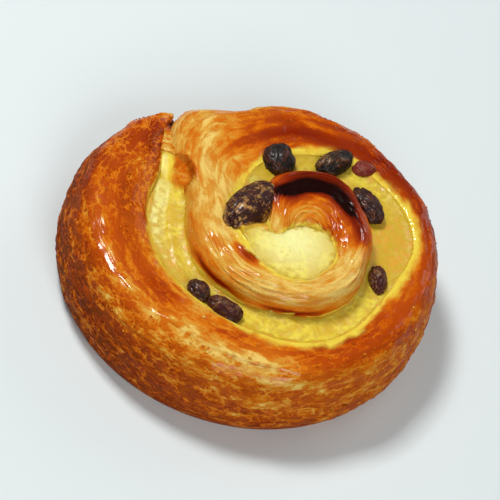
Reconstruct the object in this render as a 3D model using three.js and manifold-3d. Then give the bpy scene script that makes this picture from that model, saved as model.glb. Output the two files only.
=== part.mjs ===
// Raisin brioche: a laminated dough strip rolled up into a flat swirl, with a custard strip baked
// between its laps and raisins half sunk in the custard. Millimetres, +Z up, resting on z = 0.
// The origin is at the middle of the base. +Y points away from the side that is seen first.
import * as THREE from "three";
import { mergeVertices } from "three/addons/utils/BufferGeometryUtils.js";
import Module from "manifold-3d";

// The roll seen from above: a round of this radius, and the eye of the swirl off its middle.
const ROLL_RADIUS = 50;
const EYE = new THREE.Vector2(12.1, -6.7);

// Every angle is a turn in degrees about the eye, counted on from lap to lap, anticlockwise.
const LAP = 360;
const STEP = 5;
const TAIL_TURN = 140;
const TONGUE_TURN = 880;
const CUSTARD_FROM = 150;
const CUSTARD_TO = 560;
const POOL_FROM = 515;

// Clearance between neighbouring pieces, and how far the custard stays above the base.
const GAP = 0.3;
const CUSTARD_BASE = 1.0;

// Stations of the swirl, each [turn, millimetres].
// The middle of the custard strip, measured from the eye.
const STRIP_RADIUS = [
  [137, 57], [143, 54.3], [148, 49.6], [154, 44.6], [162, 39], [178, 35.4], [205, 30.9],
  [232, 25.8], [262, 22.3], [300, 21.9], [345, 20.9], [372, 22.6], [392, 26.7], [404, 28.4],
  [416, 30], [427, 31.8], [434, 32.9], [450, 33], [471, 30.2], [486, 26.8], [500, 19.8],
  [525, 14.6], [560, 10],
];
// Half of the custard strip's width where it shows on top.
const STRIP_HALF = [
  [137, 0.3], [148, 0.6], [154, 1.8], [162, 4.2], [178, 4.8], [205, 4], [232, 3.2], [262, 3.9],
  [290, 4], [320, 3.2], [345, 2.9], [372, 4.2], [392, 5.8], [404, 6.5], [416, 6.6], [427, 5.8],
  [434, 5.1], [450, 4.2], [471, 3.5], [486, 3], [497, 4.9], [510, 4.9], [525, 4.3], [560, 2],
];
// Half of the strip's width low down, where the laps lie close together.
const STRIP_LOW_HALF = 0.9;
// The strip opens out between these shares of its height.
const STRIP_OPENS = [0.3, 0.95];
// Height of the custard along the strip.
const CUSTARD_LEVEL = [
  [137, 20], [180, 20.5], [262, 21.5], [345, 23], [400, 24], [450, 24.5], [486, 26], [525, 27.6],
  [560, 28],
];
// Edge of the custard pool in the middle, measured from the eye over one lap.
const POOL_EDGE = [
  [165, 6.2], [174, 12], [203, 13], [232, 11.4], [265, 11], [292, 10.4], [328, 8.9],
  [384, 8.8], [416, 9], [450, 7.8], [481, 6.6], [505, 6.2], [525, 6.2],
];
const POOL_LEVEL = 28;
const POOL_CROWN = 0.9;
// The pool's radius low down, as a share of its edge, and the shares of its height between
// which it opens out.
const POOL_LOW_SHARE = 0.35;
const POOL_OPENS = [0.35, 1];
// Past the end of the dough's tongue the custard strip widens inwards, between these turns, into
// the pool, and the crown of the strip lies at this share of its half width.
const POOL_JOIN = [525, 530];
const POOL_JOIN_DEPTH = 0.9;
const STRIP_CROWN_SHARE = 0.45;
const STRIP_CROWN = [-0.1, 0.5];

// How far the outline falls inside the round: at the tapered tail, and, past the turn where the
// tail's side ends, where the last lap dives in behind the tail.
const TAIL_INSET = [[140, 5.5], [143, 3], [149, 1.4], [157, 0.6], [165, 0]];
const TAIL_SIDE_ENDS = 300;
const DIVE_INSET = [[452, 0], [460, 0.2], [467, 1.4], [476, 4.1], [486, 7.8], [496, 9.4]];
// The outer wall of the dough stops being a free wall between these turns.
const WALL_ENDS = [472, 499];

// Height of the dough's crest, and how far across the strip it lies (0 inner, 1 outer side).
const CREST = [
  [137, 21], [150, 23.5], [180, 24.5], [230, 23.6], [270, 23], [330, 23.6], [380, 24.6],
  [450, 26], [490, 26.5], [540, 27.6], [600, 28.6], [650, 29.6], [720, 30.8], [780, 32],
  [810, 32.2], [840, 31.4], [868, 29.8], [883, 28.7],
];
const CREST_ACROSS = [[137, 0.5], [500, 0.5], [560, 0.45], [640, 0.35], [720, 0.6], [883, 0.55]];
const SHOULDER = 0.5;

// The free outer wall: height of its fullest point, and how far its foot is drawn in.
const WALL_BELLY = 9;
const WALL_FOOT = 2.4;

// Relief of the flaky layers on the dough, and the slower unevenness of the hand-rolled strip.
const LAYER_DEPTH = 0.45;
const LAYERS_ACROSS = 3;
const LAYER_DRIFT = 0.35;
const WAVE_HEIGHT = 0.55;
const WAVE_COUNTS = [2, 3, 5, 9, 14];
const WAVE_SIZES = [0.5, 1.5];
// Phases that set the waves of the layers and of the custard apart from the crest's.
const LAYER_PHASE = 1.7;
const CUSTARD_PHASE = 3.1;
const SEED = 11;
// The congruence that the random numbers come from.
const DRAW_FACTOR = 1664525;
const DRAW_STEP = 1013904223;
const DRAW_RANGE = 2 ** 32;

// Raisins: middle, half sizes along, across and up, and heading from +X in degrees.
const RAISINS = [
  { at: [-3.3, 2, 27.9], half: [9.8, 5.2, 4.4], heading: 66 },
  { at: [-1, 22.8, 26], half: [5.4, 4.5, 3.6], heading: 100 },
  { at: [13.3, 28.6, 25.8], half: [6, 3.3, 3], heading: 55 },
  { at: [21.3, 31.4, 24.6], half: [3.3, 2.6, 2.1], heading: 20 },
  { at: [25.3, 18.1, 25.6], half: [6.2, 3.2, 3], heading: 138 },
  { at: [33.6, -3.6, 23.6], half: [4.5, 2.4, 2.4], heading: 107 },
  { at: [-8.6, -26.2, 22], half: [3.4, 2.6, 2.2], heading: -40 },
  { at: [-0.6, -29.3, 22.2], half: [5, 2.9, 2.6], heading: -15 },
];
const WRINKLE_SHARE = 0.13;
const WRINKLES_ROUND = 5;
const WRINKLE_SWAY = 1.4;
// Spare room in the hollows that the raisins lie in, besides the clearance.
const HOLLOW_SLACK = 0.1;
const RAISIN_ROUND = 14;
const RAISIN_RINGS = 8;

const rad = THREE.MathUtils.degToRad;
const smooth = (from, to, value) => THREE.MathUtils.smoothstep(value, from, to);
const mix = THREE.MathUtils.lerp;

// A smooth curve through stations [position, value]: a cubic in each span, level past the ends.
function through(stations) {
  const slope = stations.map((here, i) => {
    const before = stations[Math.max(i - 1, 0)];
    const after = stations[Math.min(i + 1, stations.length - 1)];
    return (after[1] - before[1]) / (after[0] - before[0]);
  });
  return (x) => {
    if (x <= stations[0][0]) return stations[0][1];
    if (x >= stations.at(-1)[0]) return stations.at(-1)[1];
    const i = stations.findLastIndex((station) => station[0] <= x);
    const span = stations[i + 1][0] - stations[i][0];
    const t = (x - stations[i][0]) / span;
    const ease = t * t * (3 - 2 * t);
    const bend = span * (slope[i] * t * (1 - t) ** 2 - slope[i + 1] * t * t * (1 - t));
    return mix(stations[i][1], stations[i + 1][1], ease) + bend;
  };
}

const stripRadius = through(STRIP_RADIUS);
const stripTopHalf = through(STRIP_HALF);
const custardLevel = through(CUSTARD_LEVEL);
const poolEdge = through(POOL_EDGE);
const tailInset = through(TAIL_INSET);
const diveInset = through(DIVE_INSET);
const crestHeight = through(CREST);
const crestAcross = through(CREST_ACROSS);

// Half of the custard strip's width at a height: narrow below, opening out to the top.
function stripHalf(turn, z) {
  const opened = smooth(...STRIP_OPENS, z / custardLevel(turn));
  const top = stripTopHalf(turn);
  return mix(Math.min(STRIP_LOW_HALF, top), top, opened);
}

// Edge of the pool at a height: a bowl that is widest at the top.
function poolRadius(turn, z) {
  const first = POOL_EDGE[0][0];
  const around = THREE.MathUtils.euclideanModulo(turn - first, LAP) + first;
  return poolEdge(around) * mix(POOL_LOW_SHARE, 1, smooth(...POOL_OPENS, z / POOL_LEVEL));
}

// Distance from the eye to the round outline, less the insets of the tail and the dive.
function outline(turn) {
  const along = EYE.x * Math.cos(rad(turn)) + EYE.y * Math.sin(rad(turn));
  const reach = -along + Math.sqrt(along ** 2 - EYE.lengthSq() + ROLL_RADIUS ** 2);
  return reach - (turn < TAIL_SIDE_ENDS ? tailInset(turn) : diveInset(turn));
}

// Inner side of the dough strip at a height: against the custard strip, then round the pool.
function innerSide(turn, z) {
  const strip = stripRadius(turn) + stripHalf(turn, z);
  const pool = turn > POOL_FROM ? poolRadius(turn, z) : 0;
  return Math.max(turn > CUSTARD_TO ? 0 : strip, pool) + GAP;
}

// Outer side of the dough strip at a height: the free wall, then the lap outside.
function outerSide(turn, z) {
  const drawnIn = WALL_FOOT * Math.max(0, 1 - z / WALL_BELLY) ** 2;
  const wall = outline(turn) - drawnIn;
  const shut = smooth(...WALL_ENDS, turn);
  if (shut === 0) return wall;
  const lap = stripRadius(turn - LAP) - stripHalf(turn - LAP, z) - GAP;
  return mix(wall, lap, shut);
}

// Seeded random numbers from 0 to 1.
function drawer(seed) {
  let state = seed;
  return () => {
    state = (state * DRAW_FACTOR + DRAW_STEP) % DRAW_RANGE;
    return state / DRAW_RANGE;
  };
}
const draw = drawer(SEED);
const drawPhase = () => draw() * 2 * Math.PI;

// A slow wave along the strip: a few sines of random phase and strength.
const WAVES = WAVE_COUNTS.map((count) => ({
  count,
  phase: drawPhase(),
  size: mix(...WAVE_SIZES, draw()),
}));
function wave(turn, shift) {
  let sum = 0;
  for (const { count, phase, size } of WAVES) sum += size * Math.sin(rad(turn) * count + phase + shift);
  return sum / WAVES.length;
}

// Where the points of a cross-section lie: up a side, and over the two bows of the crest.
const UP_SIDE = [0, 0.45, 0.75, 1];
const INNER_BOW = [0, 0.15, 0.32, 0.49, 0.66, 0.83];
const OUTER_BOW = [0, 0.14, 0.28, 0.42, 0.56, 0.7, 0.85, 1];
const ROUNDNESS = 0.86;
const POOL_SHARES = [0.75, 0.45, 0.15];

// One cross-section of the dough strip as [distance from the eye, height] points: up the inner
// side, over the crest in two quarter bows, and down the outer side.
function doughSection(turn) {
  const shut = smooth(...WALL_ENDS, turn);
  const innerLevel = custardLevel(turn);
  const outerLevel = mix(WALL_BELLY, custardLevel(turn - LAP), shut);
  const innerTop = innerLevel + SHOULDER;
  const outerTop = outerLevel + SHOULDER * shut;
  const crest = crestHeight(turn) + WAVE_HEIGHT * wave(turn, 0);
  const inner = innerSide(turn, innerLevel);
  const outer = outerSide(turn, outerLevel);
  const middle = mix(inner, outer, crestAcross(turn));
  const points = UP_SIDE.map((share) => [innerSide(turn, share * innerLevel), share * innerLevel]);
  for (const t of INNER_BOW) {
    const across = Math.cos((t * Math.PI) / 2) ** ROUNDNESS;
    const rise = Math.sin((t * Math.PI) / 2) ** ROUNDNESS;
    points.push([middle - (middle - inner) * across, innerTop + (crest - innerTop) * rise]);
  }
  for (const t of OUTER_BOW) {
    const across = Math.sin((t * Math.PI) / 2) ** ROUNDNESS;
    const rise = Math.cos((t * Math.PI) / 2) ** ROUNDNESS;
    points.push([middle + (outer - middle) * across, outerTop + (crest - outerTop) * rise]);
  }
  const bowStart = UP_SIDE.length;
  const bowCount = INNER_BOW.length + OUTER_BOW.length;
  for (let i = 0; i < bowCount; i += 1) {
    const share = (i + 0.5) / bowCount;
    const layer = LAYERS_ACROSS * share + LAYER_DRIFT * wave(turn, LAYER_PHASE);
    const ridge = Math.cos(2 * Math.PI * layer) * Math.sin(Math.PI * share);
    points[bowStart + i][1] += LAYER_DEPTH * ridge;
  }
  for (const share of [...UP_SIDE].reverse()) {
    points.push([outerSide(turn, share * outerLevel), share * outerLevel]);
  }
  return points;
}

// Inner side of the custard strip at a height: against the lap inside, then into the pool.
function custardInnerSide(turn, z) {
  const free = stripRadius(turn) - stripHalf(turn, z);
  const joined = smooth(...POOL_JOIN, turn);
  return mix(free, Math.min(free, POOL_JOIN_DEPTH * poolRadius(turn, z)), joined);
}

// One cross-section of the custard strip: up its inner side, over the top and down again.
function custardSection(turn) {
  const level = custardLevel(turn);
  const heights = UP_SIDE.map((share) => Math.max(share * level, CUSTARD_BASE));
  const radius = stripRadius(turn);
  const crown = STRIP_CROWN[0] + STRIP_CROWN[1] * wave(turn, CUSTARD_PHASE);
  const crownHalf = STRIP_CROWN_SHARE * stripHalf(turn, level);
  return [
    ...heights.map((z) => [custardInnerSide(turn, z), z]),
    [radius - crownHalf, level + crown],
    [radius + crownHalf, level + crown],
    ...heights.reverse().map((z) => [radius + stripHalf(turn, z), z]),
  ];
}

// A closed mesh from rings of points: each four-sided patch between rings is split along its
// shorter diagonal, and both ends are shut by a fan.
function skin(rings) {
  const count = rings[0].length;
  const corners = rings.flat();
  const faces = [];
  for (let i = 0; i + 1 < rings.length; i += 1) {
    for (let j = 0; j < count; j += 1) {
      const a = i * count + j;
      const b = i * count + ((j + 1) % count);
      const c = a + count;
      const d = b + count;
      const shortCut = corners[a].distanceTo(corners[d]) < corners[b].distanceTo(corners[c]);
      faces.push(...(shortCut ? [a, b, d, a, d, c] : [a, b, c, b, d, c]));
    }
  }
  for (const [ring, flip] of [[0, true], [rings.length - 1, false]]) {
    const hub = corners.length;
    const middle = new THREE.Vector3();
    rings[ring].forEach((corner) => middle.addScaledVector(corner, 1 / count));
    corners.push(middle);
    for (let j = 0; j < count; j += 1) {
      const a = ring * count + j;
      const b = ring * count + ((j + 1) % count);
      faces.push(...(flip ? [b, a, hub] : [a, b, hub]));
    }
  }
  return new THREE.BufferGeometry().setFromPoints(corners).setIndex(faces);
}

// A point at a distance from the eye along a turn.
function fromEye(turn, distance, z) {
  return new THREE.Vector3(
    EYE.x + distance * Math.cos(rad(turn)),
    EYE.y + distance * Math.sin(rad(turn)),
    z,
  );
}

// A strip swept round the eye from one turn to another, by its cross-section at each step.
function sweptStrip(section, from, to) {
  const rings = [];
  for (let turn = from; turn <= to + 1e-6; turn += STEP) {
    rings.push(section(turn).map(([distance, z]) => fromEye(turn, distance, z)));
  }
  return skin(rings);
}

// The pool: rings from the bottom of the bowl up to its edge, then in over a low crown.
function custardPool() {
  const rings = [];
  const ring = (z, share) => {
    const corners = [];
    for (let turn = TAIL_TURN; turn < TAIL_TURN + LAP - 1e-6; turn += STEP) {
      const rise = POOL_CROWN * (1 - share ** 2);
      corners.push(fromEye(turn, share * poolRadius(turn, Math.min(z, POOL_LEVEL)), z + rise));
    }
    return corners;
  };
  for (const share of UP_SIDE) rings.push(ring(Math.max(share * POOL_LEVEL, CUSTARD_BASE), 1));
  for (const share of POOL_SHARES) rings.push(ring(POOL_LEVEL, share));
  return skin(rings);
}

// An egg shape on half sizes, its skin drawn in by wrinkles along its length.
function raisinBody({ half, heading, at }, wrinkles, grown) {
  const phase = drawPhase();
  const rings = [];
  for (let i = 1; i < RAISIN_RINGS; i += 1) {
    const lengthwise = (Math.PI * i) / RAISIN_RINGS;
    const corners = [];
    for (let j = 0; j < RAISIN_ROUND; j += 1) {
      const round = (2 * Math.PI * j) / RAISIN_ROUND;
      const sway = WRINKLE_SWAY * Math.sin(2 * lengthwise + phase);
      const fold = 0.5 + 0.5 * Math.cos(WRINKLES_ROUND * round + phase + sway);
      const skinIn = 1 - wrinkles * fold * Math.sin(lengthwise);
      corners.push(
        new THREE.Vector3(
          -(half[0] + grown) * Math.cos(lengthwise),
          (half[1] + grown) * Math.sin(lengthwise) * Math.cos(round) * skinIn,
          (half[2] + grown) * Math.sin(lengthwise) * Math.sin(round) * skinIn,
        ),
      );
    }
    rings.push(corners);
  }
  const body = skin(rings);
  body.rotateZ(rad(heading));
  body.translate(...at);
  return body;
}

// Solids are cut and joined as manifolds and handed back as geometry.
const wasm = await Module();
wasm.setup();
function solid(geometry) {
  const bare = new THREE.BufferGeometry();
  bare.setAttribute("position", geometry.getAttribute("position"));
  bare.setIndex(geometry.index);
  const merged = mergeVertices(bare, 1e-4);
  return new wasm.Manifold(
    new wasm.Mesh({
      numProp: 3,
      vertProperties: new Float32Array(merged.attributes.position.array),
      triVerts: new Uint32Array(merged.index.array),
    }),
  );
}
function geometryOf(manifold) {
  const mesh = manifold.getMesh();
  const geometry = new THREE.BufferGeometry();
  geometry.setAttribute("position", new THREE.BufferAttribute(new Float32Array(mesh.vertProperties), 3));
  geometry.setIndex(new THREE.BufferAttribute(new Uint32Array(mesh.triVerts), 1));
  geometry.computeVertexNormals();
  return geometry;
}

const CRUST = new THREE.MeshStandardMaterial({ color: "#b9651f", roughness: 0.4 });
const CUSTARD = new THREE.MeshStandardMaterial({ color: "#e8cc45", roughness: 0.35 });
const DARK_FRUIT = new THREE.MeshStandardMaterial({ color: "#2c1813", roughness: 0.35 });

function piece(name, geometry, material) {
  const mesh = new THREE.Mesh(geometry, material);
  mesh.name = name;
  return mesh;
}

const brioche = new THREE.Group();
let dough = solid(sweptStrip(doughSection, TAIL_TURN, TONGUE_TURN));
const strip = sweptStrip(custardSection, CUSTARD_FROM, CUSTARD_TO - STEP);
let custard = solid(strip).add(solid(custardPool()));
for (const [i, raisin] of RAISINS.entries()) {
  const hollow = solid(raisinBody(raisin, 0, GAP + HOLLOW_SLACK));
  dough = dough.subtract(hollow);
  custard = custard.subtract(hollow);
  brioche.add(piece(`raisin_${i + 1}`, raisinBody(raisin, WRINKLE_SHARE, 0), DARK_FRUIT));
}
brioche.add(piece("dough_swirl", geometryOf(dough), CRUST));
brioche.add(piece("custard_filling", geometryOf(custard), CUSTARD));

export default brioche;
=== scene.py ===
import itertools

import bpy
import numpy as np
from mathutils import Matrix, Vector


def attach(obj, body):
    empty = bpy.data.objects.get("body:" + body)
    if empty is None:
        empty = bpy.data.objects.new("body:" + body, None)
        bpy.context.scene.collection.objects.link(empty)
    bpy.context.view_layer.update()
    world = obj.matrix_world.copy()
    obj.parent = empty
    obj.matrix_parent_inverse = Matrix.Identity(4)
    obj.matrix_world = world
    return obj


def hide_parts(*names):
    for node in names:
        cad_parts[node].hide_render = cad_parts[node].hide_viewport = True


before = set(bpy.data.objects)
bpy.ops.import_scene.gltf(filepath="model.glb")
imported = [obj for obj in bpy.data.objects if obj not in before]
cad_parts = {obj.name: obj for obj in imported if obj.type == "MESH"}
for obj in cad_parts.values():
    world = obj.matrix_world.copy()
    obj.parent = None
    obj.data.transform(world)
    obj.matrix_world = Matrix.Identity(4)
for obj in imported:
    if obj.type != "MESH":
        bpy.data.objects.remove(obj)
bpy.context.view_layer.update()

# The dough strip
# A laminated brioche dough, rolled up round its custard into a flat swirl, brushed with egg and
# baked: the crown of each lap is brown and glossy, its stretched layers split into pale streaks,
# and the outer wall stays matt and tan. Sizes are millimetres, turns are degrees about the eye.
MM = 0.001
LAP = 360
ROLL_RADIUS = 50
EYE = np.array([12.1, -6.7])
TAIL_TURN = 140
TONGUE_TURN = 885
CUSTARD_FROM = 150
CUSTARD_TO = 560
POOL_FROM = 515
GAP = 0.3

# Stations [turn, value] of the swirl: the custard strip's distance from the eye, half width and
# level, the pool's edge, how far the wall is set in at the tail and where the last lap dives in,
# and the crest's height and its share of the way across the dough.
STRIP_RADIUS = [
    [137, 57], [143, 54.3], [148, 49.6], [154, 44.6], [162, 39], [178, 35.4], [205, 30.9],
    [232, 25.8], [262, 22.3], [300, 21.9], [345, 20.9], [372, 22.6], [392, 26.7], [404, 28.4],
    [416, 30], [427, 31.8], [434, 32.9], [450, 33], [471, 30.2], [486, 26.8], [500, 19.8],
    [525, 14.6], [560, 10],
]
STRIP_HALF = [
    [137, 0.3], [148, 0.6], [154, 1.8], [162, 4.2], [178, 4.8], [205, 4], [232, 3.2], [262, 3.9],
    [290, 4], [320, 3.2], [345, 2.9], [372, 4.2], [392, 5.8], [404, 6.5], [416, 6.6], [427, 5.8],
    [434, 5.1], [450, 4.2], [471, 3.5], [486, 3], [497, 4.9], [510, 4.9], [525, 4.3], [560, 2],
]
STRIP_LOW_HALF = 0.9
CUSTARD_LEVEL = [
    [137, 20], [180, 20.5], [262, 21.5], [345, 23], [400, 24], [450, 24.5], [486, 26],
    [525, 27.6], [560, 28],
]
POOL_EDGE = [
    [165, 6.2], [174, 12], [203, 13], [232, 11.4], [265, 11], [292, 10.4], [328, 8.9],
    [384, 8.8], [416, 9], [450, 7.8], [481, 6.6], [505, 6.2], [525, 6.2],
]
POOL_LEVEL = 28
POOL_LOW_SHARE = 0.35
TAIL_INSET = [[140, 5.5], [143, 3], [149, 1.4], [157, 0.6], [165, 0]]
DIVE_INSET = [[452, 0], [460, 0.2], [467, 1.4], [476, 4.1], [486, 7.8], [496, 9.4]]
WALL_ENDS = (472, 499)
CREST = [
    [137, 21], [150, 23.5], [180, 24.5], [230, 23.6], [270, 23], [330, 23.6], [380, 24.6],
    [450, 26], [490, 26.5], [540, 27.6], [600, 28.6], [650, 29.6], [720, 30.8], [780, 32],
    [810, 32.2], [840, 31.4], [868, 29.8], [883, 28.7],
]
CREST_ACROSS = [[137, 0.5], [500, 0.5], [560, 0.45], [640, 0.35], [720, 0.6], [883, 0.55]]
SHOULDER = 0.5
WALL_BELLY = 9
WALL_FOOT = 2.4
ROUNDNESS = 0.86

# How dark the crust is, 0 raw to 1 burnt: mostly its bake, with painted shade down the wall at the
# tail and the left and on the shoulder at the right. Lines at a distance across the strip from its
# crest, from the custard's side out and down the wall, each as [turn, darkness].
BAKE_AND_SHADE = {
    -8: [[140, 0.6], [155, 0.75], [165, 0.6], [185, 0.6], [205, 0.45], [222, 0.6], [233, 0.24],
         [246, 0.5], [262, 0.55], [285, 0.6], [320, 0.6], [350, 0.45], [380, 0.3], [405, 0.24],
         [430, 0.3], [450, 0.55], [470, 0.6], [490, 0.45], [505, 0.2], [520, 0.1], [545, 0.1],
         [565, 0.2], [600, 0.16], [660, 0.2], [700, 0.28], [740, 0.4], [756, 0.64], [775, 0.68],
         [792, 0.46], [815, 0.3], [842, 0.28], [865, 0.15], [885, 0.05]],
    -4: [[140, 0.84], [155, 0.84], [163, 0.54], [175, 0.74], [195, 0.66], [210, 0.66], [222, 0.84],
         [231, 0.42], [240, 0.44], [254, 0.7], [270, 0.42], [292, 0.72], [320, 0.75], [350, 0.6],
         [380, 0.5], [405, 0.56], [432, 0.84], [450, 0.9], [470, 0.88], [488, 0.7], [503, 0.25],
         [520, 0.12], [545, 0.15], [562, 0.6], [576, 0.86], [590, 0.36], [620, 0.16], [650, 0.16],
         [700, 0.16], [738, 0.36], [756, 0.52], [790, 0.54], [815, 0.58], [838, 0.66], [850, 0.4],
         [870, 0.15], [885, 0.08]],
    0: [[140, 0.3], [145, 0.76], [155, 0.74], [170, 0.66], [190, 0.62], [205, 0.6], [222, 0.56],
        [236, 0.36], [250, 0.44], [266, 0.36], [280, 0.4], [296, 0.6], [320, 0.7], [350, 0.68],
        [380, 0.7], [405, 0.84], [432, 0.92], [450, 0.9], [470, 0.82], [490, 0.45], [505, 0.2],
        [520, 0.14], [545, 0.16], [565, 0.2], [600, 0.08], [640, 0.09], [690, 0.1], [730, 0.2],
        [746, 0.5], [768, 0.66], [790, 0.96], [832, 0.96], [846, 0.62], [852, 0.5], [865, 0.22],
        [885, 0.1]],
    4: [[140, 0.3], [145, 0.8], [155, 0.76], [170, 0.7], [190, 0.6], [205, 0.56], [225, 0.5],
        [245, 0.34], [270, 0.38], [300, 0.56], [330, 0.66], [360, 0.72], [390, 0.84], [420, 0.86],
        [440, 0.76], [460, 0.7], [480, 0.5], [500, 0.25], [520, 0.18], [545, 0.2], [562, 0.26],
        [576, 0.3], [590, 0.2], [606, 0.1], [640, 0.1], [690, 0.12], [730, 0.3], [750, 0.48],
        [770, 0.6], [788, 0.94], [830, 0.94], [845, 0.62], [852, 0.5], [870, 0.25], [885, 0.12]],
    # From line 8 outwards, turns 140 to 240 and 390 to 430 are darker partly with painted shade.
    8: [[140, 0.3], [145, 0.8], [155, 0.84], [175, 0.88], [190, 0.8], [205, 0.72], [225, 0.66],
        [250, 0.58], [280, 0.56], [310, 0.58], [340, 0.6], [370, 0.7], [400, 0.85], [425, 0.86],
        [445, 0.7], [465, 0.52], [485, 0.35], [505, 0.36], [520, 0.28], [545, 0.28], [562, 0.28],
        [578, 0.3], [592, 0.34], [612, 0.34], [645, 0.4], [662, 0.4], [700, 0.45], [735, 0.55],
        [770, 0.55], [790, 0.78], [830, 0.78], [855, 0.45], [885, 0.12]],
    14: [[140, 0.84], [160, 0.9], [180, 0.92], [195, 0.9], [215, 0.88], [240, 0.8], [270, 0.68],
         [300, 0.62], [340, 0.62], [380, 0.66], [420, 0.65], [450, 0.5], [480, 0.35], [500, 0.3],
         [540, 0.36], [600, 0.4], [650, 0.42], [700, 0.4], [760, 0.45], [800, 0.5], [850, 0.45],
         [885, 0.1]],
    22: [[140, 0.86], [170, 0.92], [200, 0.94], [240, 0.86], [300, 0.68], [360, 0.6], [420, 0.6],
         [480, 0.35], [500, 0.3], [885, 0.3]],
}
# The narrow band where the last ring's crest has burnt: its place across, and how much darker.
BURNT_ACROSS = [[740, 0.6], [765, -0.2], [790, -1.2], [830, -1.4], [840, -0.6], [848, 2], [858, 5]]
BURNT_MORE = [[738, 0], [748, 0.34], [772, 0.38], [792, 0.56], [832, 0.58], [850, 0.6], [862, 0]]
BURNT_WIDTH = 2.5
# The narrow browned line along the ring's outer edge, in two stretches.
BROWNED_FROM_EDGE = [[552, 3], [575, 2.8], [592, 2.2], [615, 1.1], [640, 0.9], [672, 1]]
BROWNED_MORE = [
    [556, 0], [566, 0.6], [588, 0.62], [597, 0.16], [610, 0.16], [626, 0.55], [656, 0.5], [676, 0],
]
BROWNED_WIDTH = 0.9
# How far custard has baked on to the dough's outer side, up from the strip of the lap outside it.
FOOT_FILM = [[500, 1.4], [530, 3.6], [560, 2.4], [592, 1.6], [606, 0.5], [660, 0.5], [685, 1.4]]
# How much the crust has split into pale cracks, on the same kind of lines.
SPLIT = {
    -4: [[140, 1.0], [163, 1.0], [178, 0.7], [192, 0.3], [215, 0.3], [260, 0.5], [300, 0.4],
         [340, 0.2], [470, 0.15], [495, 0.35], [520, 0.25], [545, 0.1], [885, 0]],
    4: [[140, 1.0], [172, 0.9], [188, 0.9], [215, 1.0], [260, 0.9], [300, 0.7], [360, 0.5],
        [430, 0.5], [480, 0.45], [495, 0.55], [515, 0.35], [540, 0.1], [885, 0]],
    14: [[140, 0.9], [200, 1.0], [300, 0.9], [400, 0.7], [470, 0.7], [500, 0.7], [530, 0.1],
         [885, 0]],
}
# How far the custard has run up the inner side of the dough, along the turns.
FILM = [
    [140, 2], [165, 3], [190, 4], [215, 4.4], [245, 4], [270, 4.6], [300, 4.4], [340, 3.6],
    [380, 4.6], [410, 4.8], [436, 3.6], [452, 5.6], [468, 3.4], [490, 4], [528, 6.4], [556, 5],
    [572, 2.2], [590, 2.2], [612, 3], [740, 2.4], [820, 1.6], [885, 1.6],
]
# Free edges of single leaves of dough: from turn, to turn, distance from the crest, and step.
LEAF_EDGES = [
    [430, 486, 0.4, 0.4], [398, 476, 4.6, 0.5], [410, 492, 8.6, 0.6], [196, 236, 3.0, 0.2],
    [226, 300, 2.6, 0.45], [205, 268, 9.5, 0.3], [250, 330, 7.2, 0.5], [262, 352, 13.5, 0.5],
    [480, 514, 7.4, 0.45], [486, 518, 2.6, 0.4], [142, 168, 6.5, 0.4], [310, 400, 6.0, 0.4],
    [330, 430, 11.5, 0.5],
]


def through(stations, at):
    """A smooth curve through [place, value] stations: a cubic in each span whose slope at a
    station is the rise over its two neighbours, and level past both ends."""
    place, value = np.array(stations, float).T
    number = np.arange(len(place))
    before, after = np.maximum(number - 1, 0), np.minimum(number + 1, number[-1])
    slope = (value[after] - value[before]) / (place[after] - place[before])
    x = np.clip(at, place[0], place[-1])
    i = np.clip(np.searchsorted(place, x, side="right") - 1, 0, number[-1] - 1)
    span = place[i + 1] - place[i]
    t = (x - place[i]) / span
    ease = t * t * (3 - 2 * t)
    bend = span * (slope[i] * t * (1 - t) ** 2 - slope[i + 1] * t * t * (1 - t))
    return value[i] + (value[i + 1] - value[i]) * ease + bend


def smooth(low, high, value):
    """0 below low, 1 above high, and an eased rise between."""
    t = np.clip((value - low) / (high - low), 0, 1)
    return t * t * (3 - 2 * t)


def mix(a, b, share):
    """a where share is 0, b where it is 1, and a straight blend between."""
    return a + (b - a) * share


def across_lines(lines, turn, across):
    """Lines of stations at distances across the strip, read at a turn and blended with an eased
    share from each line to the next."""
    places = sorted(lines)
    value = through(lines[places[0]], turn) + 0 * across
    for near, far in zip(places, places[1:]):
        value = mix(value, through(lines[far], turn), smooth(near, far, across))
    return value


def window(value, opens, opened, closes, closed):
    """0, an eased rise to 1 from opens to opened, and an eased fall from closes to closed."""
    return smooth(opens, opened, value) * (1 - smooth(closes, closed, value))


def hump(place, middle, width):
    """A bell of height 1 at its middle that has died away at about two widths."""
    return np.exp(-(((place - middle) / width) ** 2))


def draws(seed, *cells):
    """A random number from 0 to 1 for each whole-numbered cell: the fraction of a large sine."""
    mixed = sum(cell * step for cell, step in zip(cells, (12.9898, 78.233, 37.719)))
    return np.modf(np.abs(np.sin(mixed + seed * 4.1414)) * 43758.5453)[0]


def grain(seed, *axes):
    """Smooth noise from 0 to 1: random numbers at whole-numbered corners, blended by eased
    shares along each axis."""
    floors = [np.floor(axis) for axis in axes]
    shares = [smooth(0, 1, axis - floor) for axis, floor in zip(axes, floors)]
    total = 0
    for corner in itertools.product((0, 1), repeat=len(axes)):
        weight = 1
        for step, share in zip(corner, shares):
            weight = weight * (share if step else 1 - share)
        total = total + weight * draws(seed, *[f + step for f, step in zip(floors, corner)])
    return total


def rough(seed, octaves, *axes):
    """Noise from about -1 to 1: smooth noise at doubling pitch and half strength, summed."""
    total, strength = 0, 1
    for octave in range(octaves):
        pitch = 2**octave
        total = total + strength * (2 * grain(seed + octave, *[a * pitch for a in axes]) - 1)
        strength *= 0.5
    return total / (2 - 2 * strength)


def strip_half(turn, z):
    """Half of the custard strip's width: narrow low down, opened out to its top width."""
    top = through(STRIP_HALF, turn)
    opened = smooth(0.3, 0.95, z / through(CUSTARD_LEVEL, turn))
    return mix(np.minimum(STRIP_LOW_HALF, top), top, opened)


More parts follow.
